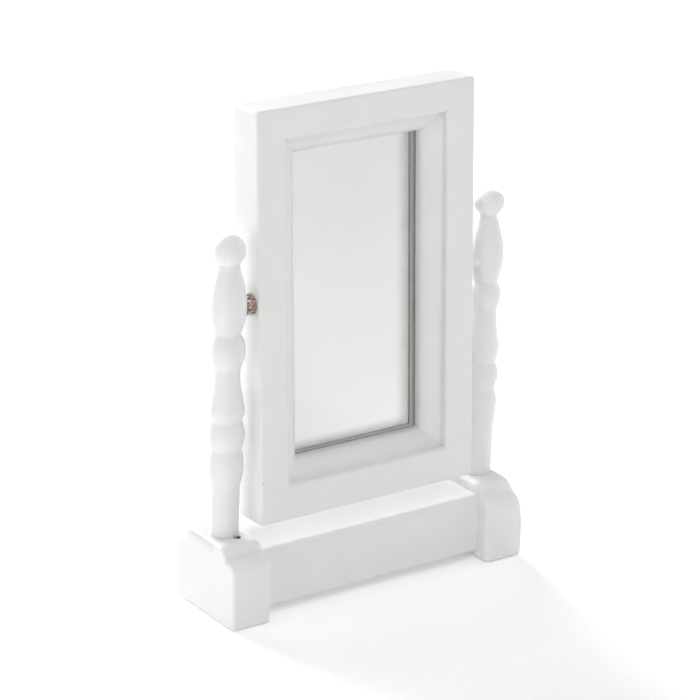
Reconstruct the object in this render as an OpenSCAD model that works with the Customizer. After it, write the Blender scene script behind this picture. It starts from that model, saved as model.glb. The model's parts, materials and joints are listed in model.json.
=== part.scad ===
// Dolls' house swing mirror for a dressing table, 1:12, in millimetres.
// +Z is up, the mirror faces -Y, and the origin is on the table top, midway between the feet.

/* [Stand] */
// Width over both feet
stand_w = 46; // [44:0.5:50]
// Width of one foot
foot_w = 5.9; // [5.5:0.1:6.5]
// Depth of a foot, front to back
foot_d = 14; // [13:0.5:16]
// Height of the ledge on a foot
ledge_h = 8.9; // [8.5:0.1:9.2]
// Height of a foot's domed top, where the post stands
foot_h = 10.5; // [10.3:0.1:10.8]
// Radius of the ledge's outer edge
ledge_round = 1.3; // [0.8:0.1:1.6]
// Radius of a foot's bottom edge
heel_round = 1; // [0.5:0.1:1.3]

/* [Crossbar] */
// Depth of the crossbar, front to back
bar_d = 9.8; // [8:0.2:11]
// Height of the crossbar's underside
bar_bottom = 1.2; // [0.8:0.1:2]
// Height of the crossbar's top
bar_top = 9.1; // [8.6:0.1:9.2]
// Radius of the crossbar's top edges
bar_round = 1; // [0.6:0.1:1.4]

/* [Posts] */
// Radius of the plain foot of a post
post_r = 1.88; // [1.8:0.02:1.94]
// Radius of the ball on top
ball_r = 2.1; // [1.9:0.1:2.3]
// Radius of the tenon glued into the foot
tenon_r = 1.4; // [1.2:0.1:1.5]
// Length of the tenon
tenon_l = 5; // [4:0.5:6]

/* [Pivot] */
// Height of the pivot above the table
pivot_h = 41; // [40.5:0.1:41.5]
// Radius of a pivot peg
peg_r = 1.45; // [1.3:0.05:1.5]
// Pivot's distance behind the frame's front face
pivot_depth = 1.86; // [1.8:0.02:2.2]
// Lean of the mirror as it stands, top towards the back
rest_lean = 3.4; // [0:0.2:8]

/* [Frame] */
// Width of the mirror frame
frame_w = 33.3; // [32.5:0.1:33.5]
// Height of the frame above the pivot
frame_up = 24.85; // [22:0.05:26]
// Height of the frame below the pivot
frame_down = 29.3; // [27:0.1:29.4]
// Thickness of the frame
frame_t = 5.5; // [5.2:0.1:6]
// Width of a stile's face
stile_w = 4.4; // [4.2:0.1:4.8]
// Height of the top rail's face
top_rail_h = 4.1; // [3.8:0.1:5]
// Height of the bottom rail's face
bottom_rail_h = 4.75; // [4:0.05:5.5]

/* [Sight bead] */
// Width of the bead round the glass
bead_w = 2.6; // [2:0.1:3]
// Step from the frame's face back to the bead
bead_step = 1.3; // [0.8:0.1:1.6]
// Depth of the glass behind the frame's face
glass_depth = 3.3; // [2.4:0.1:3.3]

/* [Mirror] */
// Thickness of the glass
glass_t = 1; // [0.8:0.1:1.2]
// Thickness of the backing board
back_t = 1.2; // [0.8:0.1:1.4]

/* [Hidden] */
$fn = 64;
glue_gap = 0.02;         // between parts that are glued in
turn_gap = 0.03;         // between a peg and the stile that turns on it
pane_gap = 0.1;          // round the glass and the backing board
peg_bore_l = 3.4;        // depth of the bore in a stile
peg_end_gap = 0.15;      // between the peg's end and the bottom of that bore
peg_past_axis = 0.3;     // how far a peg reaches past the post's axis
cut = 1;                 // overshoot of a cutting tool
span_steps = 8;          // points on each curved stretch of a post

post_x = (stand_w - foot_w) / 2;
dome_r = foot_h - ledge_h;
bar_l = stand_w - 2 * foot_w;
open_w = frame_w - 2 * stile_w;
open_h = frame_up + frame_down - top_rail_h - bottom_rail_h;
open_top = frame_up - top_rail_h;
open_mid = open_top - open_h / 2;
neck_r = 1.43;
ball_h = 38.1;           // height of the ball's centre above the foot

// A post's turned shape: [height above the foot, radius, curve to the next station].
// "rise" leaves at a slope and arrives level, "fall" leaves level and arrives at a slope.
stations = [
    [0, post_r, "straight"],       // plain foot
    [6.7, post_r, "rise"],
    [9.7, 2.34, "fall"],           // long bead
    [11.7, 2, "rise"],
    [13.7, 2.4, "fall"],           // middle bead
    [15.6, 1.97, "rise"],
    [17.2, 2.36, "rise"],          // bell
    [21.7, 1.7, "straight"],       // long slim neck
    [22.7, 1.7, "rise"],
    [25.1, 2.32, "fall"],          // upper bead
    [27.2, 1.64, "rise"],
    [30.7, 2.36, "fall"],          // vase, with the pivot peg at its widest
    [35.8, neck_r, "straight"],
    [ball_h - sqrt(ball_r * ball_r - neck_r * neck_r), neck_r, "straight"]
];

function ease(kind, t) = kind == "rise" ? sin(90 * t) : kind == "fall" ? 1 - cos(90 * t) : t;

function span(a, b) =
    let (n = a[2] == "straight" ? 1 : span_steps)
    [for (i = [0 : n - 1]) [a[1] + (b[1] - a[1]) * ease(a[2], i / n), a[0] + (b[0] - a[0]) * i / n]];

function turned() = [for (i = [0 : len(stations) - 2]) each span(stations[i], stations[i + 1])];

function ball_arc() =
    let (start = -acos(neck_r / ball_r), n = 2 * span_steps)
    [for (i = [0 : n]) let (a = start + (90 - start) * i / n) [ball_r * cos(a), ball_h + ball_r * sin(a)]];

// Draws a Y-Z section along X, centred on the origin
module along_x(length)
    translate([-length / 2, 0, 0]) rotate([90, 0, 90]) linear_extrude(length) children();

// A block's section standing on the axis, with its own radius for the top and the bottom corners
module rounded_section(w, h, top, bottom) {
    translate([top - w / 2, 0]) square([w - 2 * top, h]);
    translate([-w / 2, bottom]) square([w, h - top - bottom]);
    translate([bottom - w / 2, 0]) square([w - 2 * bottom, bottom]);
    for (side = [-1, 1]) {
        translate([side * (w / 2 - top), h - top]) circle(top);
        translate([side * (w / 2 - bottom), bottom]) circle(bottom);
    }
}

module foot_section() {
    rounded_section(foot_d, ledge_h, ledge_round, heel_round);
    rounded_section(bar_d, foot_h, dome_r, heel_round);
}

module foot(side) {
    color("white") difference() {
        translate([side * post_x, 0, 0]) along_x(foot_w) foot_section();
        translate([side * post_x, 0, foot_h - tenon_l - glue_gap])
            cylinder(h = tenon_l + cut, r = tenon_r + glue_gap);
    }
}

module crossbar() {
    color("white") translate([0, 0, bar_bottom]) along_x(bar_l)
        rounded_section(bar_d, bar_top - bar_bottom, bar_round, bar_round / 2);
}

module post(side) {
    color("whitesmoke") difference() {
        translate([side * post_x, 0, foot_h]) rotate_extrude()
            polygon(concat([[0, -tenon_l], [tenon_r, -tenon_l], [tenon_r, 0]], turned(), ball_arc()));
        translate([side * (post_x + peg_past_axis + glue_gap), 0, pivot_h]) rotate([0, -side * 90, 0])
            cylinder(h = foot_w, r = peg_r + glue_gap);
    }
}

module peg(side) {
    inner = frame_w / 2 - peg_bore_l + peg_end_gap;
    color("tan") translate([side * inner, 0, pivot_h]) rotate([0, side * 90, 0])
        cylinder(h = post_x + peg_past_axis - inner, r = peg_r);
}

// Places a part of the mirror frame: local Z runs up the frame and the pivot is the origin
module on_frame() translate([0, 0, pivot_h]) rotate([-rest_lean, 0, 0]) children();

// A flat piece centred on the frame, from one depth behind the face to another
module slab(w, low, high, front, back)
    translate([-w / 2, front - pivot_depth, low]) cube([w, back - front, high - low]);

module stile(side) {
    color("white") on_frame() difference() {
        translate([side * (frame_w - stile_w) / 2, 0, 0])
            slab(stile_w, open_top - open_h, open_top, 0, frame_t);
        translate([side * (frame_w / 2 + cut), 0, 0]) rotate([0, -side * 90, 0])
            cylinder(h = peg_bore_l + cut, r = peg_r + turn_gap);
    }
}

module top_rail() {
    color("white") on_frame() slab(frame_w, open_top, frame_up, 0, frame_t);
}

module bottom_rail() {
    color("white") on_frame() slab(frame_w, -frame_down, open_top - open_h, 0, frame_t);
}

// Quarter-round bead standing on the bottom edge of the opening, as [depth, height]
module bead_section()
    polygon(concat(
        [[glass_depth, 0]],
        [for (a = [0 : 9 : 90])
            [glass_depth - (glass_depth - bead_step) * cos(a), bead_w * sin(a)]]
    ));

module mitred_bead(length) {
    intersection() {
        translate([0, -pivot_depth, 0]) along_x(length) bead_section();
        translate([0, frame_t, 0]) rotate([90, 0, 0]) linear_extrude(2 * frame_t)
            polygon([[-length / 2, 0], [length / 2, 0], [length / 2 - bead_w, bead_w], [bead_w - length / 2, bead_w]]);
    }
}

// Turns a bead to its side of the opening: 0 bottom, 90 left, 180 top, 270 right
module bead(turn) {
    across = turn % 180 == 0;
    color("white") on_frame() translate([0, 0, open_mid]) rotate([0, turn, 0])
        translate([0, 0, -(across ? open_h : open_w) / 2]) mitred_bead(across ? open_w : open_h);
}

module mirror_glass() {
    color("lightsteelblue") on_frame()
        slab(open_w - 2 * pane_gap, open_top - open_h + pane_gap, open_top - pane_gap,
            glass_depth, glass_depth + glass_t);
}

module backing_board() {
    color("burlywood") on_frame()
        slab(open_w - 2 * pane_gap, open_top - open_h + pane_gap, open_top - pane_gap,
            glass_depth + glass_t, glass_depth + glass_t + back_t);
}

foot(-1);  // left_foot
foot(1);  // right_foot
crossbar();
post(-1);  // left_post
post(1);  // right_post
peg(-1);  // left_peg
peg(1);  // right_peg
stile(-1);  // left_stile
stile(1);  // right_stile
top_rail();
bottom_rail();
bead(90);  // left_bead
bead(270);  // right_bead
bead(180);  // top_bead
bead(0);  // bottom_bead
mirror_glass();
backing_board();
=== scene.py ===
import json
import math

import bmesh
import bpy
from mathutils import Matrix, Vector, noise


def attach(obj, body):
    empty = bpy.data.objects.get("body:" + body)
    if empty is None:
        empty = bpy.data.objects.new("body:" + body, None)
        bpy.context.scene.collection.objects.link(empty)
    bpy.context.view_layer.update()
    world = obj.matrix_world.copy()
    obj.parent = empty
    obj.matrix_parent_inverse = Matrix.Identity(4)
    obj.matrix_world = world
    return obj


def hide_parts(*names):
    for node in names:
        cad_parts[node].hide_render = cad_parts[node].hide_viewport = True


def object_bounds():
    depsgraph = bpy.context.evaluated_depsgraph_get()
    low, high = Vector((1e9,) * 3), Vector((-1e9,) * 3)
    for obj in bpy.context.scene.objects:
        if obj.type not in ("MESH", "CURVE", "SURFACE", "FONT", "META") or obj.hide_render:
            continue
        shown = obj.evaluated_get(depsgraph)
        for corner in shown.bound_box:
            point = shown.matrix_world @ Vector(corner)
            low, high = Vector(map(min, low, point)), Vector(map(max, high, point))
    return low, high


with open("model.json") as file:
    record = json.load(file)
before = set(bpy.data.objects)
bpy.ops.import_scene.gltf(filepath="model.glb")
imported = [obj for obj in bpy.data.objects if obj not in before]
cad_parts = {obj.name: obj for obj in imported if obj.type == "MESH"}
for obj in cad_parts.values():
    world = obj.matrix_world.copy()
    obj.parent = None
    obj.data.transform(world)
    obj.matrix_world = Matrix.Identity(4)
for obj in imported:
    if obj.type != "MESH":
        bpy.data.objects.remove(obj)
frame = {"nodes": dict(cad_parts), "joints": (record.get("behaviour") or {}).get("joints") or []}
cadLow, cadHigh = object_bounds()
print("frame loaded")

mm = 0.001
near = 0.001 * mm  # two places closer than this are the same
pivot = Vector(frame["joints"][0]["pos_m"])


# where things are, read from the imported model

def broadFaceLean(node):
    # the glass's broad face gives how far the mirror leans back
    face = max(frame["nodes"][node].data.polygons, key=lambda p: p.area)
    return math.atan2(abs(face.normal.z), abs(face.normal.y))


lean = broadFaceLean("mirror_glass")
onFrame = Matrix.Translation(pivot) @ Matrix.Rotation(-lean, 4, "X")  # frame's own space to the model's
offFrame = onFrame.inverted()
onStand = Matrix.Identity(4)


def nodeBox(node, space):
    points = [space @ v.co for v in frame["nodes"][node].data.vertices]
    low = Vector([min(p[i] for p in points) for i in range(3)])
    high = Vector([max(p[i] for p in points) for i in range(3)])
    return low, high


# camera

view = {
    "azimuth": -35.4,                        # degrees, from the front towards the left
    "elevation": 20.96,
    "roll": 1.88,
    "distance": 411.5 * mm,
    "lens": 165,
    "clip": (0.01, 20),                      # nearest and furthest, in metres
    "aimOffset": (-1.3 * mm, 0, -1.1 * mm),  # from the middle of the object
}


def makeCamera():
    azimuth, elevation = math.radians(view["azimuth"]), math.radians(view["elevation"])
    back = Vector((math.sin(azimuth) * math.cos(elevation), -math.cos(azimuth) * math.cos(elevation),
                   math.sin(elevation)))
    data = bpy.data.cameras.new("camera")
    data.lens = view["lens"]
    data.clip_start, data.clip_end = view["clip"]
    camera = bpy.data.objects.new("camera", data)
    bpy.context.scene.collection.objects.link(camera)
    middle = Vector((0, 0, (cadLow.z + cadHigh.z) / 2))
    camera.location = middle + Vector(view["aimOffset"]) + back * view["distance"]
    turn = (-back).to_track_quat("-Z", "Y").to_matrix() @ Matrix.Rotation(math.radians(view["roll"]), 3, "Z")
    camera.rotation_euler = turn.to_euler()
    bpy.context.scene.camera = camera


makeCamera()
print("camera set")


# materials

def startMaterial(name):
    material = bpy.data.materials.new(name)
    material.use_nodes = True
    tree = material.node_tree
    tree.nodes.clear()
    out = tree.nodes.new("ShaderNodeOutputMaterial")
    shader = tree.nodes.new("ShaderNodeBsdfPrincipled")
    tree.links.new(shader.outputs[0], out.inputs[0])
    return material, tree, shader


def stretched(tree, scale):
    # object coordinates, squeezed along the grain
    coords = tree.nodes.new("ShaderNodeTexCoord")
    mapping = tree.nodes.new("ShaderNodeMapping")
    mapping.inputs["Scale"].default_value = scale
    tree.links.new(coords.outputs["Object"], mapping.inputs["Vector"])
    return mapping.outputs["Vector"]


def noiseField(tree, vector, scale, detail=3, roughness=0.55, distortion=0):
    node = tree.nodes.new("ShaderNodeTexNoise")
    node.inputs["Scale"].default_value = scale
    node.inputs["Detail"].default_value = detail
    node.inputs["Roughness"].default_value = roughness
    node.inputs["Distortion"].default_value = distortion
    tree.links.new(vector, node.inputs["Vector"])
    return node.outputs["Fac"]


def remap(tree, value, low, high, toLow=0, toHigh=1):
    node = tree.nodes.new("ShaderNodeMapRange")
    node.interpolation_type = "SMOOTHSTEP"
    for key, number in zip(("From Min", "From Max", "To Min", "To Max"), (low, high, toLow, toHigh)):
        node.inputs[key].default_value = number
    tree.links.new(value, node.inputs["Value"])
    return node.outputs["Result"]


def combine(tree, kind, first, second):
    node = tree.nodes.new("ShaderNodeMath")
    node.operation = kind
    for socket, value in zip(node.inputs, (first, second)):
        if isinstance(value, (int, float)):
            socket.default_value = value
        else:
            tree.links.new(value, socket)
    return node.outputs[0]


def mixColor(tree, amount, first, second):
    node = tree.nodes.new("ShaderNodeMix")
    node.data_type = "RGBA"
    for key, value in (("Factor", amount), ("A", first), ("B", second)):
        socket = [s for s in node.inputs if s.name == key and s.enabled][0]
        if isinstance(value, tuple):
            socket.default_value = (*value, 1)
        elif isinstance(value, (int, float)):
            socket.default_value = value
        else:
            tree.links.new(value, socket)
    return [s for s in node.outputs if s.enabled][0]


def addBump(tree, shader, heights):
    # heights: (field, depth in metres), stacked from the coarsest to the finest
    normal = None
    for field, depth in heights:
        bump = tree.nodes.new("ShaderNodeBump")
        bump.inputs["Distance"].default_value = depth
        tree.links.new(field, bump.inputs["Height"])
        if normal is not None:
            tree.links.new(normal, bump.inputs["Normal"])
        normal = bump.outputs["Normal"]
    tree.links.new(normal, shader.inputs["Normal"])


paint = {
    "white": (0.805, 0.805, 0.80),
    "shade": (0.775, 0.775, 0.765),   # where the coat is thin
    "paintedShade": (0.70, 0.70, 0.69),     # painted shade: darker paint on the tops of the feet's left ends, where the lamps light them most
    "pit": (0.42, 0.38, 0.34),        # tiny pits that show the wood's colour
    "roughness": (0.36, 0.50),        # from the glossiest to the dullest patches
    "stretch": 0.07,                  # how long the grain runs against its width
    "fibreScale": 1800,
    "brushScale": 900,
    "coatScale": 5200,
    "cloudScale": 160,
    "pitScale": 260,
    "fibreDepth": 0.012 * mm,
    "brushDepth": 0.02 * mm,
    "coatDepth": 0.008 * mm,
    "pitDepth": 0.04 * mm,
}


def makePaint(name, grain):
    # satin white paint over sanded wood, with the grain just showing through
    material, tree, shader = startMaterial(name)
    along = tuple(paint["stretch"] if axis == grain else 1 for axis in "XYZ")
    plain = stretched(tree, (1, 1, 1))
    fibres = noiseField(tree, stretched(tree, along), paint["fibreScale"], 5, 0.62)
    brush = noiseField(tree, stretched(tree, tuple(s * s for s in along)), paint["brushScale"], 2)
    coat = noiseField(tree, plain, paint["coatScale"], 2)
    clouds = noiseField(tree, plain, paint["cloudScale"], 3)
    specks = tree.nodes.new("ShaderNodeTexVoronoi")
    specks.inputs["Scale"].default_value = paint["pitScale"]
    tree.links.new(plain, specks.inputs["Vector"])
    few = remap(tree, noiseField(tree, plain, 120, 1), 0.6, 0.64)
    pits = combine(tree, "MULTIPLY", remap(tree, specks.outputs["Distance"], 0.035, 0.05, 1, 0), few)
    tone = combine(tree, "ADD", combine(tree, "MULTIPLY", remap(tree, clouds, 0.35, 0.7), 0.6),
                   combine(tree, "MULTIPLY", remap(tree, fibres, 0.4, 0.75), 0.4))
    # painted shade: an attribute on the feet darkens the paint where the lamps light their tops most
    paintedShade = tree.nodes.new("ShaderNodeAttribute")
    paintedShade.attribute_name = "paintedShade"
    color = mixColor(tree, tone, paint["white"], paint["shade"])
    color = mixColor(tree, paintedShade.outputs["Fac"], color, paint["paintedShade"])
    color = mixColor(tree, pits, color, paint["pit"])
    tree.links.new(color, shader.inputs["Base Color"])
    rough = remap(tree, clouds, 0.3, 0.7, *paint["roughness"])
    tree.links.new(rough, shader.inputs["Roughness"])
    shader.inputs["IOR"].default_value = 1.48
    sunk = combine(tree, "SUBTRACT", 1, pits)
    addBump(tree, shader, [(brush, paint["brushDepth"]), (fibres, paint["fibreDepth"]),
                           (coat, paint["coatDepth"]), (sunk, paint["pitDepth"])])
    return material


dowel = {
    "wood": (0.37, 0.24, 0.17),
    "dark": (0.13, 0.075, 0.05),
    "fleck": (0.72, 0.69, 0.66),
    "fibreDepth": 0.03 * mm,
    "fleckDepth": 0.02 * mm,
}


def makePegWood():
    # bare dowel, dark in the pores, with flecks of paint that ran on to it
    material, tree, shader = startMaterial("barePeg")
    plain = stretched(tree, (1, 1, 1))
    fibres = noiseField(tree, stretched(tree, (0.2, 1, 1)), 3800, 5, 0.65, 0.4)
    blots = noiseField(tree, plain, 2600, 3)
    color = mixColor(tree, remap(tree, fibres, 0.42, 0.62), dowel["wood"], dowel["dark"])
    color = mixColor(tree, remap(tree, blots, 0.52, 0.6), color, dowel["fleck"])
    tree.links.new(color, shader.inputs["Base Color"])
    shader.inputs["Roughness"].default_value = 0.7
    addBump(tree, shader, [(fibres, dowel["fibreDepth"]), (blots, dowel["fleckDepth"])])
    return material


hollowWood = {
    "light": (0.16, 0.11, 0.075),
    "dark": (0.05, 0.035, 0.025),
    "grainDepth": 0.04 * mm,
}


def makeRawHollow():
    # raw wood inside the little hollow beside the left post
    material, tree, shader = startMaterial("rawHollow")
    grain = noiseField(tree, stretched(tree, (1, 0.2, 1)), 3000, 4, 0.6)
    color = mixColor(tree, remap(tree, grain, 0.35, 0.65), hollowWood["light"], hollowWood["dark"])
    tree.links.new(color, shader.inputs["Base Color"])
    shader.inputs["Roughness"].default_value = 0.85
    addBump(tree, shader, [(grain, hollowWood["grainDepth"])])
    return material


board = {
    "light": (0.50, 0.36, 0.23),
    "dark": (0.34, 0.22, 0.13),
    "patchDepth": 0.02 * mm,
    "fibreDepth": 0.03 * mm,
    "arris": 0.1 * mm,
}


def makeBoard():
    # thin fibreboard, bare on both sides
    material, tree, shader = startMaterial("fibreboard")
    plain = stretched(tree, (1, 1, 1))
    fibres = noiseField(tree, stretched(tree, (1, 1, 0.35)), 2600, 6, 0.7, 0.8)
    patches = noiseField(tree, plain, 180, 3)
    color = mixColor(tree, remap(tree, fibres, 0.35, 0.7), board["light"], board["dark"])
    color = mixColor(tree, remap(tree, patches, 0.45, 0.75, 0, 0.25), color, board["dark"])
    tree.links.new(color, shader.inputs["Base Color"])
    shader.inputs["Roughness"].default_value = 0.8
    addBump(tree, shader, [(patches, board["patchDepth"]), (fibres, board["fibreDepth"])])
    return material


beadBack = {
    "wood": (0.42, 0.40, 0.37),
    "pores": (0.30, 0.28, 0.26),
    "glow": 1.1,              # stands for light that reaches it through the glass
    "creep": 0.8 * mm,        # how far paint crept under the sight edge
    "raggedness": 0.2 * mm,
    "fibreDepth": 0.02 * mm,
}


def makeBackWood():
    # the back of a bead, against the glass: bare wood that paint has crept on to from the sight edge, which
    # also glows as painted light
    material, tree, shader = startMaterial("bareBead")
    fibres = noiseField(tree, stretched(tree, (1, 1, 0.15)), 2400, 5, 0.65)
    wood = mixColor(tree, remap(tree, fibres, 0.35, 0.7), beadBack["wood"], beadBack["pores"])
    inset = tree.nodes.new("ShaderNodeAttribute")
    inset.attribute_name = "inset"
    uneven = combine(tree, "MULTIPLY", combine(tree, "SUBTRACT", fibres, 0.5), beadBack["raggedness"])
    ragged = combine(tree, "ADD", inset.outputs["Fac"], uneven)
    bare = remap(tree, ragged, 0, beadBack["creep"])
    color = mixColor(tree, bare, paint["shade"], wood)
    tree.links.new(color, shader.inputs["Base Color"])
    # painted light: the same colour glows, for light that reaches it through the glass
    tree.links.new(color, shader.inputs["Emission Color"])
    shader.inputs["Emission Strength"].default_value = beadBack["glow"]
    shader.inputs["Roughness"].default_value = 0.75
    addBump(tree, shader, [(fibres, beadBack["fibreDepth"])])
    return material


pane = {
    "tint": (0.98, 0.982, 0.98),
    "dust": 0.035,            # roughness where dust lies, too fine to see one by one
}


def makeGlass():
    material, tree, shader = startMaterial("clearGlass")
    shader.inputs["Base Color"].default_value = (*pane["tint"], 1)
    shader.inputs["Transmission Weight"].default_value = 1
    shader.inputs["IOR"].default_value = 1.5
    dust = noiseField(tree, stretched(tree, (1, 1, 1)), 900, 4)
    tree.links.new(remap(tree, dust, 0.55, 0.8, 0, pane["dust"]), shader.inputs["Roughness"])
    return material


silvering = {
    "bright": (0.675, 0.675, 0.672),
    "hazy": (0.655, 0.655, 0.652),
    "edgeShade": (0.31, 0.305, 0.30),           # painted shade: darker silver along the right and the bottom sight edge, standing in for shade seen in the mirror beside the beads
    "edgeShadeReach": (2.9 * mm, 1.9 * mm),     # from the right and from the bottom sight edge
    "raggedness": 0.4 * mm,
}


def makeSilver():
    material, tree, shader = startMaterial("silvering")
    shader.inputs["Metallic"].default_value = 1
    shader.inputs["Roughness"].default_value = 0.02
    plain = stretched(tree, (1, 1, 1))
    haze = noiseField(tree, plain, 70, 2)
    color = mixColor(tree, remap(tree, haze, 0.3, 0.7), silvering["bright"], silvering["hazy"])
    # the map counts metres past the right and the bottom sight edge, negative where it can be seen
    pastEdge = tree.nodes.new("ShaderNodeUVMap")
    pastEdge.uv_map = "pastSightEdge"
    parts = tree.nodes.new("ShaderNodeSeparateXYZ")
    tree.links.new(pastEdge.outputs["UV"], parts.inputs[0])
    uneven = combine(tree, "SUBTRACT", noiseField(tree, plain, 500, 3), 0.5)
    ragged = combine(tree, "MULTIPLY", uneven, silvering["raggedness"])
    # painted shade: the silver darkens towards the right and the bottom sight edge
    for axis, reach in zip("XY", silvering["edgeShadeReach"]):
        past = combine(tree, "ADD", parts.outputs[axis], ragged)
        color = mixColor(tree, remap(tree, past, -reach, 0), color, silvering["edgeShade"])
    tree.links.new(color, shader.inputs["Base Color"])
    return material


paintX = makePaint("paintedWoodX", "X")
paintY = makePaint("paintedWoodY", "Y")
paintZ = makePaint("paintedWoodZ", "Z")
pegWood = makePegWood()
rawHollow = makeRawHollow()
fibreboard = makeBoard()
bareBead = makeBackWood()
glass = makeGlass()
silver = makeSilver()
print("materials made")


# modelling helpers

def finishPiece(name, bm, space, body, nodes, materials, sharp=32):
    bmesh.ops.transform(bm, matrix=space, verts=bm.verts)
    bmesh.ops.recalc_face_normals(bm, faces=bm.faces)
    mesh = bpy.data.meshes.new(name)
    bm.to_mesh(mesh)
    bm.free()
    for material in materials:
        mesh.materials.append(material)
    for polygon in mesh.polygons:
        polygon.use_smooth = True
    mesh.set_sharp_from_angle(angle=math.radians(sharp))
    piece = bpy.data.objects.new(name, mesh)
    bpy.context.scene.collection.objects.link(piece)
    weights = piece.modifiers.new("flatten", "WEIGHTED_NORMAL")
    weights.keep_sharp = True
    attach(piece, body)
    if nodes:
        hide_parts(*nodes)


def block(low, high):
    bm = bmesh.new()
    bmesh.ops.create_cube(bm, size=1)
    bmesh.ops.scale(bm, vec=high - low, verts=bm.verts)
    bmesh.ops.translate(bm, vec=(low + high) / 2, verts=bm.verts)
    return bm


def softenEdges(bm, edges, radius, segments=4, clamp=True):
    bmesh.ops.bevel(bm, geom=edges, offset=radius, offset_type="OFFSET", affect="EDGES",
                    segments=segments, profile=0.5, material=-1, clamp_overlap=clamp)


def arc(center, radius, start, end, count):
    steps = [math.radians(start + (end - start) * i / count) for i in range(count + 1)]
    return [(center[0] + radius * math.cos(a), center[1] + radius * math.sin(a)) for a in steps]


def sectionFace(bm, outline, x):
    verts = [bm.verts.new((x, y, z)) for y, z in outline]
    return bm.faces.new(verts)


def pushAlongX(bm, face, length):
    pushed = bmesh.ops.extrude_face_region(bm, geom=[face])
    moved = [g for g in pushed["geom"] if isinstance(g, bmesh.types.BMVert)]
    bmesh.ops.translate(bm, vec=(length, 0, 0), verts=moved)


# feet

foot = {
    "ledgeHeight": 8.9 * mm,
    "domeDepth": 9.9 * mm,
    "arcSteps": (5, 7, 9),               # at the bottom edge, the ledge's edge and the dome
    "grid": 0.14 * mm,                   # fineness of the mesh that is sanded
    "sanding": 8,                        # passes over every edge
    "left": {
        "front": (0.4 * mm, 1.1 * mm),   # radius of the bottom edge and of the ledge's edge
        "back": (1.0 * mm, 1.65 * mm),
        "ends": (0.28 * mm, 0.6 * mm),   # radius round the end on the left and on the right
        "wear": 24,                      # more passes at the worn outer end
        "wearReach": 2.4 * mm,
        "wornFrom": -3.5 * mm,           # the front stays crisp
        "shadeWidth": 3.2 * mm,         # of the painted shade on the top, from the left
    },
    "right": {
        "front": (0.6 * mm, 1.4 * mm),
        "back": (1.0 * mm, 1.65 * mm),
        "ends": (0.9 * mm, 0.35 * mm),
        "wear": 200,
        "wearReach": 4.4 * mm,
        "wornFrom": -12 * mm,
        "shadeWidth": 1.7 * mm,
    },
    "wornDown": 5.5 * mm,                # how far below the top the wear reaches
    "wearRings": 6,                      # the wear fades inwards in this many steps
    "wearFade": 1 / 8,                   # how much of its reach it loses at each step
    "shadeFade": 1.1 * mm,
    "shadeFrom": -2.6 * mm,             # the front of the dome gets no painted shade
    "hollow": (0.55 * mm, 0.5 * mm),     # radius and depth of the hollow beside the left post
    "hollowPlace": (0.65 * mm, -1.95 * mm),    # from the post's axis
    "hollowLip": 0.06 * mm,              # how far down the paint runs into it
    "hollowSkin": 1.03,                  # what lies within this many radii is the hollow's own wall
}


def footHalf(depth, height, heel, shoulder):
    ledge, domeRadius = foot["ledgeHeight"], height - foot["ledgeHeight"]
    edge, dome = depth / 2, foot["domeDepth"] / 2
    steps = foot["arcSteps"]
    half = arc((edge - heel, heel), heel, -90, 0, steps[0])
    half += arc((edge - shoulder, ledge - shoulder), shoulder, 0, 90, steps[1])
    return half + arc((dome - domeRadius, ledge), domeRadius, 0, 90, steps[2])


def footOutline(depth, height, shape):
    front = footHalf(depth, height, *shape["front"])
    return footHalf(depth, height, *shape["back"]) + [(-y, z) for y, z in reversed(front)]


def applyModifiers(piece):
    applied = bpy.data.meshes.new_from_object(piece.evaluated_get(bpy.context.evaluated_depsgraph_get()))
    piece.modifiers.clear()
    bm = bmesh.new()
    bm.from_mesh(applied)
    mesh = piece.data
    bpy.data.objects.remove(piece)
    bpy.data.meshes.remove(mesh)
    bpy.data.meshes.remove(applied)
    return bm


def looseObject(name, bm):
    mesh = bpy.data.meshes.new(name)
    bm.to_mesh(mesh)
    bm.free()
    piece = bpy.data.objects.new(name, mesh)
    bpy.context.scene.collection.objects.link(piece)
    return piece


def regrid(bm, size):
    # an even fine mesh, so that sanding rounds every edge alike
    bmesh.ops.recalc_face_normals(bm, faces=bm.faces)
    piece = looseObject("blank", bm)
    remesh = piece.modifiers.new("grid", "REMESH")
    remesh.mode = "VOXEL"
    remesh.voxel_size = size
    return applyModifiers(piece)


def sand(bm, verts, passes):
    for _ in range(passes):
        bmesh.ops.smooth_vert(bm, verts=verts, factor=0.5, use_axis_x=True, use_axis_y=True, use_axis_z=True)


def drillHollow(bm, place):
    radius, depth = foot["hollow"]
    blank = looseObject("blank", bm)
    drill = bmesh.new()
    bmesh.ops.create_icosphere(drill, subdivisions=3, radius=radius)
    bmesh.ops.scale(drill, vec=(1, 1, depth / radius), verts=drill.verts)
    bmesh.ops.translate(drill, vec=place, verts=drill.verts)
    cutter = looseObject("drill", drill)
    cut = blank.modifiers.new("hollow", "BOOLEAN")
    cut.operation = "DIFFERENCE"
    cut.solver = "EXACT"
    cut.object = cutter
    bm = applyModifiers(blank)
    bpy.data.objects.remove(cutter)
    for face in bm.faces:
        offset = face.calc_center_median() - place
        inside = Vector((offset.x / radius, offset.y / radius, offset.z / depth)).length < foot["hollowSkin"]
        face.material_index = 1 if inside and offset.z < -foot["hollowLip"] else 0
    return bm


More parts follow.
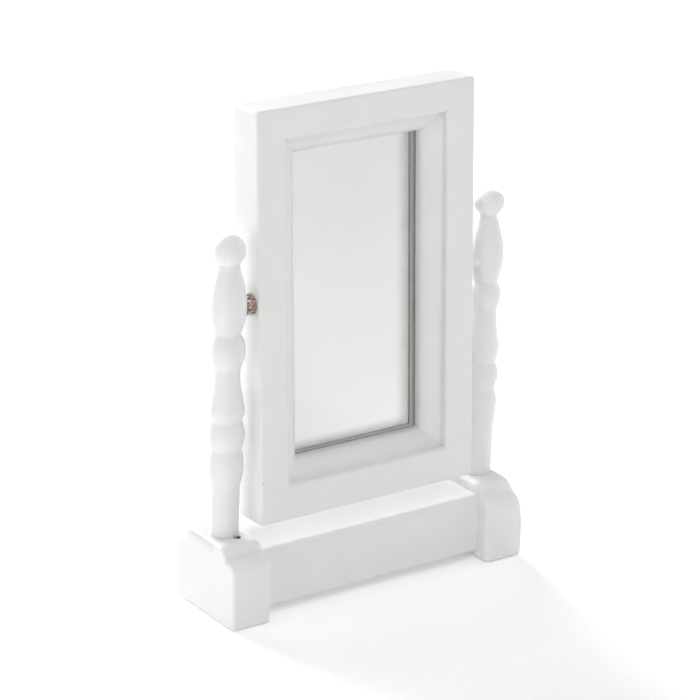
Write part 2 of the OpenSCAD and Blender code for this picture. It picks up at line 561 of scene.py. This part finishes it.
def makeFoot(name, node, shape, outward, hollowAt=None):
    low, high = nodeBox(node, onStand)
    bm = bmesh.new()
    face = sectionFace(bm, footOutline(high.y - low.y, high.z - low.z, shape), low.x)
    pushAlongX(bm, face, high.x - low.x)
    for end, radius in zip((low.x, high.x), shape["ends"]):
        rim = [e for e in bm.edges if all(abs(v.co.x - end) < near for v in e.verts)]
        softenEdges(bm, rim, radius, 4, False)
    bm = regrid(bm, foot["grid"])
    sand(bm, bm.verts, foot["sanding"])
    outer = high.x if outward > 0 else low.x
    for step in range(foot["wearRings"]):
        # the top of the outer end is worn the most, fading inwards
        part = 1 - step * foot["wearFade"]
        reach = shape["wearReach"] * part
        down = foot["wornDown"] * part
        worn = [v for v in bm.verts if abs(v.co.x - outer) < reach and v.co.z > high.z - down
                and v.co.y > shape["wornFrom"] + (shape["wearReach"] - reach)]
        sand(bm, worn, shape["wear"] // foot["wearRings"])
    materials = [paintY]
    if hollowAt is not None:
        materials.append(rawHollow)
        bm = drillHollow(bm, Vector((*hollowAt, high.z)))
    # painted shade: the left end's top, above the ledge and behind the dome's front, is marked for darker
    # paint
    paintedShade = bm.verts.layers.float.new("paintedShade")
    for vert in bm.verts:
        left = (shape["shadeWidth"] - (vert.co.x - low.x)) / foot["shadeFade"]
        up = (vert.co.z - foot["ledgeHeight"]) / foot["shadeFade"]
        behind = (vert.co.y - foot["shadeFrom"]) / foot["shadeFade"]
        vert[paintedShade] = min(1, max(0, min(left, up, behind)))
    finishPiece(name, bm, onStand, "stand", [node], materials, 60)


leftAxis = sum(nodeBox("left_post", onStand), Vector()) / 2
makeFoot("left_foot_shaped", "left_foot", foot["left"], -1, leftAxis.xy + Vector(foot["hollowPlace"]))
makeFoot("right_foot_shaped", "right_foot", foot["right"], 1)
print("feet made")


# crossbar

bar = {
    "housed": 0.9 * mm,              # how far each end is let into its foot
    "topRound": 1.0 * mm,
    "bottomRound": 0.5 * mm,
}


def makeCrossbar():
    low, high = nodeBox("crossbar", onStand)
    housed = Vector((bar["housed"], 0, 0))
    bm = block(low - housed, high + housed)
    for level, radius in ((high.z, bar["topRound"]), (low.z, bar["bottomRound"])):
        edges = [e for e in bm.edges if all(abs(v.co.z - level) < near for v in e.verts)
                 and abs(e.verts[0].co.x - e.verts[1].co.x) > near]
        softenEdges(bm, edges, radius, 6)
    finishPiece("crossbar_shaped", bm, onStand, "stand", ["crossbar"], [paintX])


makeCrossbar()
print("crossbar made")


# turned posts

post = {
    # height above the foot and radius, both in mm, and the curve to the next station
    "left": [
        (-1.4, 1.88, "straight"),    # plain foot, let a little into the wood
        (6.7, 1.88, "rise"),
        (9.7, 2.34, "fall"),         # long bead
        (11.7, 2.0, "rise"),
        (13.7, 2.4, "fall"),         # middle bead
        (15.6, 1.97, "rise"),
        (17.2, 2.36, "rise"),        # bell
        (21.7, 1.7, "straight"),     # long slim neck
        (22.7, 1.7, "rise"),
        (25.1, 2.32, "fall"),        # upper bead
        (27.2, 1.64, "rise"),
        (30.7, 2.36, "fall"),        # vase
        (35.8, 1.43, "straight"),
    ],
    # the right one came off the lathe a little different, with a flattened ball
    "right": [
        (-1.4, 1.98, "straight"),
        (6.7, 1.96, "rise"),
        (9.9, 2.3, "fall"),
        (12.1, 1.87, "rise"),
        (14.0, 2.3, "fall"),
        (15.8, 1.84, "rise"),
        (18.0, 2.28, "rise"),
        (22.5, 1.75, "straight"),
        (23.3, 1.72, "rise"),
        (25.2, 2.16, "fall"),
        (27.0, 1.62, "rise"),
        (30.5, 2.3, "fall"),
        (35.8, 1.24, "straight"),
    ],
    "ballRadius": 2.1,
    "ballHeight": 38.1,
    "rightBallTop": 1.35,            # what is left above the widest part
    "tenonRadius": 1.4,
    "steps": 9,                      # between two stations
    "ballSteps": (14, 16),           # below and above the widest part
    "turns": 72,
    "wobble": 0.03 * mm,
    "wobblePace": 420,               # how fast it changes up the post
    "wobbleSeeds": ((900, 7), (700, 19)),    # sideways and from front to back
}


def easing(kind, t):
    if kind == "rise":
        return math.sin(math.pi / 2 * t)
    if kind == "fall":
        return 1 - math.cos(math.pi / 2 * t)
    return t


def postProfile(stations, ballTop):
    # (radius, height) from the plain foot up to the top of the ball, in metres
    neck = stations[-1][1]
    reach = math.sqrt(post["ballRadius"] ** 2 - neck ** 2)
    stations = stations + [(post["ballHeight"] - reach, neck, "straight")]
    points = []
    for (z0, r0, kind), (z1, r1, _) in zip(stations, stations[1:]):
        for i in range(post["steps"]):
            t = i / post["steps"]
            points.append((r0 + (r1 - r0) * easing(kind, t), z0 + (z1 - z0) * t))
    start = -math.degrees(math.acos(neck / post["ballRadius"]))
    below, above = post["ballSteps"]
    points += arc((0, post["ballHeight"]), post["ballRadius"], start, 0, below)
    cap = arc((0, 0), post["ballRadius"], 0, 90, above)[1:]
    points += [(r, post["ballHeight"] + z * ballTop / post["ballRadius"]) for r, z in cap]
    return [(r * mm, z * mm) for r, z in points]


def makePost(name, node, stations, ballTop):
    low, high = nodeBox(node, onStand)
    axis = (low + high) / 2
    profile = postProfile(stations, ballTop)
    base = high.z - (post["ballHeight"] + post["ballRadius"]) * mm
    points = [(0, low.z), (post["tenonRadius"] * mm, low.z), (post["tenonRadius"] * mm, base)]
    points += [(r, base + z) for r, z in profile]
    bm = bmesh.new()
    verts = [bm.verts.new((axis.x + max(r, 0), 0, z)) for r, z in points]
    edges = [bm.edges.new(pair) for pair in zip(verts, verts[1:])]
    bmesh.ops.spin(bm, geom=verts + edges, cent=(axis.x, 0, 0), axis=(0, 0, 1), angle=math.tau,
                   steps=post["turns"], use_merge=True)
    bmesh.ops.remove_doubles(bm, verts=bm.verts, dist=near / 2)
    for vert in bm.verts:
        # the lathe never runs quite true
        along = vert.co.z * post["wobblePace"]
        for i, (spread, seed) in enumerate(post["wobbleSeeds"]):
            vert.co[i] += noise.noise(Vector((axis.x * spread, along, seed))) * post["wobble"]
    finishPiece(name, bm, onStand, "stand", [node], [paintZ], 55)


makePost("left_post_turned", "left_post", post["left"], post["ballRadius"])
makePost("right_post_turned", "right_post", post["right"], post["rightBallTop"])
print("posts made")


# pivot pegs

peg = {
    "shaved": 0.12 * mm,             # thinner than its bore
    "chamfer": 0.2 * mm,
    "turns": 40,
}


def makePeg(name, node, material):
    low, high = nodeBox(node, onStand)
    radius = (high.z - low.z) / 2 - peg["shaved"]
    bm = bmesh.new()
    bmesh.ops.create_cone(bm, cap_ends=True, segments=peg["turns"], radius1=radius, radius2=radius,
                          depth=high.x - low.x,
                          matrix=Matrix.Translation((low + high) / 2) @ Matrix.Rotation(math.pi / 2, 4, "Y"))
    rims = [e for e in bm.edges if abs(e.verts[0].co.x - e.verts[1].co.x) < near]
    softenEdges(bm, rims, peg["chamfer"], 2)
    finishPiece(name, bm, onStand, "stand", [node], [material])


makePeg("left_peg_dowel", "left_peg", pegWood)
makePeg("right_peg_dowel", "right_peg", paintX)  # this one was painted over
print("pegs made")


# mirror frame: one ring is shaped, then cut into its four lengths

ring = {
    "outerRound": 0.35 * mm,
    "innerRound": 0.4 * mm,
}


def crispEdges(bm):
    return [e for e in bm.edges if len(e.link_faces) == 2 and e.calc_face_angle(0) > 1]


def makeRing():
    topLow, high = nodeBox("top_rail", offFrame)
    low, bottomHigh = nodeBox("bottom_rail", offFrame)
    left = nodeBox("left_stile", offFrame)[1].x
    right, bottom, top = -left, bottomHigh.z, topLow.z
    bm = bmesh.new()
    outer = [bm.verts.new((x, low.y, z)) for x, z in
             ((low.x, low.z), (high.x, low.z), (high.x, high.z), (low.x, high.z))]
    inner = [bm.verts.new((x, low.y, z)) for x, z in
             ((left, bottom), (right, bottom), (right, top), (left, top))]
    loops = [[bm.edges.new((vs[i], vs[(i + 1) % 4])) for i in range(4)] for vs in (outer, inner)]
    bmesh.ops.bridge_loops(bm, edges=loops[0] + loops[1])
    pushed = bmesh.ops.extrude_face_region(bm, geom=list(bm.faces))
    moved = [g for g in pushed["geom"] if isinstance(g, bmesh.types.BMVert)]
    bmesh.ops.translate(bm, vec=(0, high.y - low.y, 0), verts=moved)
    bmesh.ops.recalc_face_normals(bm, faces=bm.faces)
    opening = [e for e in crispEdges(bm)
               if all(abs(v.co.x) < right + near and abs(v.co.y - low.y) < near for v in e.verts)]
    softenEdges(bm, opening, ring["innerRound"], 4)
    rims = [e for e in crispEdges(bm)
            if all(abs(v.co.x - low.x) < near or abs(v.co.x - high.x) < near
                   or abs(v.co.z - low.z) < near or abs(v.co.z - high.z) < near for v in e.verts)]
    softenEdges(bm, rims, ring["outerRound"], 5)
    return bm, bottom, top


def keepSide(bm, point, normal):
    # cuts off what lies on the side that the normal points to, and closes the cut with one face
    bmesh.ops.bisect_plane(bm, geom=list(bm.verts) + list(bm.edges) + list(bm.faces), dist=near,
                           plane_co=point, plane_no=normal, clear_outer=True)
    flat = [f for f in bm.faces if all(abs((v.co - point).dot(normal)) < near for v in f.verts)]
    bmesh.ops.delete(bm, geom=flat, context="FACES")
    rim = [e for e in bm.edges if e.is_boundary]
    bmesh.ops.holes_fill(bm, edges=rim, sides=0)


def makeFrameLengths():
    whole, bottom, top = makeRing()
    up, right = Vector((0, 0, 1)), Vector((1, 0, 0))
    between = [(up * top, up), (up * bottom, -up)]
    cuts = {
        "top_rail": [(up * top, -up)],
        "bottom_rail": [(up * bottom, up)],
        "left_stile": between + [(Vector(), right)],
        "right_stile": between + [(Vector(), -right)],
    }
    for node, planes in cuts.items():
        bm = whole.copy()
        for point, normal in planes:
            keepSide(bm, point, normal)
        finish = paintX if node.endswith("rail") else paintZ
        finishPiece(node + "_planed", bm, onFrame, "mirror_frame", [node], [finish])
    whole.free()


makeFrameLengths()
print("frame made")


# sight beads

bead = {
    "steps": 12,
    "fillet": 0.55 * mm,             # paint that gathered in the corner against the frame
    "filletSteps": 6,
    "mitreGap": 0.004 * mm,
}


def makeBead(name, node, turn):
    # made as the bottom bead, then turned to its own side of the opening
    low, high = nodeBox(node, offFrame)
    middle = (low + high) / 2
    size = high - low
    upright = turn % 180 != 0
    length, width = (size.z, size.x) if upright else (size.x, size.z)
    fillet = bead["fillet"]
    start = math.asin(fillet / width)
    corner = (fillet, high.y - size.y * math.cos(start) - fillet)
    outline = [(high.y, 0)]
    outline += [(y, z) for z, y in arc(corner, fillet, 180, 90, bead["filletSteps"])[:-1]]
    for i in range(bead["steps"] + 1):
        a = start + (math.pi / 2 - start) * i / bead["steps"]
        outline.append((high.y - size.y * math.cos(a), width * math.sin(a)))
    bm = bmesh.new()
    face = sectionFace(bm, outline, 0)
    pushAlongX(bm, face, 1)
    inset = bm.verts.layers.float.new("inset")
    for vert in bm.verts:
        vert[inset] = width - vert.co.z
        # both ends are mitred at 45 degrees
        vert.co.x = (1 if vert.co.x > 0.5 else -1) * (length / 2 - vert.co.z - bead["mitreGap"])
        vert.co.z -= width / 2
    bmesh.ops.recalc_face_normals(bm, faces=bm.faces)
    for face in bm.faces:
        face.material_index = 1 if face.normal.y > 0.99 else 0
    place = Matrix.Translation((middle.x, 0, middle.z)) @ Matrix.Rotation(math.radians(turn), 4, "Y")
    bmesh.ops.transform(bm, matrix=place, verts=bm.verts)
    finishPiece(name, bm, onFrame, "mirror_frame", [node],
                [paintZ if upright else paintX, bareBead], 50)


for side, turn in (("bottom", 0), ("left", 90), ("top", 180), ("right", 270)):
    makeBead(side + "_bead_moulded", side + "_bead", turn)
print("beads made")


# mirror glass and backing

mirror = {
    "silverThickness": 0.03 * mm,
    "silverGap": 0.002 * mm,
    "arris": 0.08 * mm,
}


def makeMirror():
    low, high = nodeBox("mirror_glass", offFrame)
    split = high.y - mirror["silverThickness"]
    bm = block(low, Vector((high.x, split - mirror["silverGap"], high.z)))
    softenEdges(bm, list(bm.edges), mirror["arris"], 1)
    finishPiece("glass_pane", bm, onFrame, "mirror_frame", ["mirror_glass"], [glass])
    bm = block(Vector((low.x, split, low.z)), high)
    right = nodeBox("right_bead", offFrame)[0].x
    bottom = nodeBox("bottom_bead", offFrame)[1].z
    pastEdge = bm.loops.layers.uv.new("pastSightEdge")
    for loop in [loop for face in bm.faces for loop in face.loops]:
        loop[pastEdge].uv = (loop.vert.co.x - right, bottom - loop.vert.co.z)
    finishPiece("glass_silvering", bm, onFrame, "mirror_frame", [], [silver])


def makeBackingBoard():
    low, high = nodeBox("backing_board", offFrame)
    bm = block(low, high)
    softenEdges(bm, list(bm.edges), board["arris"], 2)
    finishPiece("backing_board_cut", bm, onFrame, "mirror_frame", ["backing_board"],
                [fibreboard])


makeMirror()
makeBackingBoard()
print("mirror made")


# floor and light

studio = {
    "floorSize": 6,
    "floorWhite": (0.93, 0.93, 0.93),
    "floorGlow": 0.15,               # the table is lit faintly from below
    "skyStrength": 0,                # all other light comes from the softboxes
    "aimHeight": 0.03,
    "lights": [
        # name, place and width in metres, power in watts
        ("leftSoftbox", (-0.7, 0, 0.2), 0.5, 1.75),
        ("topSoftbox", (0, 0, 0.8), 0.7, 2.4),
        ("keySoftbox", (-0.15, -0.45, 0.6), 0.5, 1.75),
        ("frontCard", (0, -0.7, 0.08), 0.3, 0.55),
        ("rightCard", (0.7, -0.1, 0.3), 0.5, 1.95),
        ("backScreen", (0, 0.8, 0.15), 0.5, 12),
        ("backSoftbox", (0, 0.7, 0.4), 0.5, 3.8),
    ],
}


def makeFloor():
    material, tree, shader = startMaterial("paleFloor")
    shader.inputs["Base Color"].default_value = (*studio["floorWhite"], 1)
    shader.inputs["Roughness"].default_value = 0.9
    shader.inputs["Specular IOR Level"].default_value = 0.1
    shader.inputs["Emission Color"].default_value = (1, 1, 1, 1)
    shader.inputs["Emission Strength"].default_value = studio["floorGlow"]
    bm = bmesh.new()
    bmesh.ops.create_grid(bm, x_segments=1, y_segments=1, size=studio["floorSize"] / 2)
    mesh = bpy.data.meshes.new("floor")
    bm.to_mesh(mesh)
    bm.free()
    mesh.materials.append(material)
    floor = bpy.data.objects.new("floor", mesh)
    bpy.context.scene.collection.objects.link(floor)


def makeLights():
    world = bpy.data.worlds.new("studio")
    world.use_nodes = True
    sky = world.node_tree.nodes["Background"]
    sky.inputs["Color"].default_value = (1, 1, 1, 1)
    sky.inputs["Strength"].default_value = studio["skyStrength"]
    bpy.context.scene.world = world
    for name, place, width, power in studio["lights"]:
        data = bpy.data.lights.new(name, "AREA")
        data.shape = "SQUARE"
        data.size = width
        data.energy = power
        light = bpy.data.objects.new(name, data)
        light.location = place
        aim = Vector((0, 0, studio["aimHeight"])) - Vector(place)
        light.rotation_euler = aim.to_track_quat("-Z", "Y").to_euler()
        bpy.context.scene.collection.objects.link(light)


makeFloor()
makeLights()
bpy.context.scene.view_settings.view_transform = "Standard"
print("studio made")
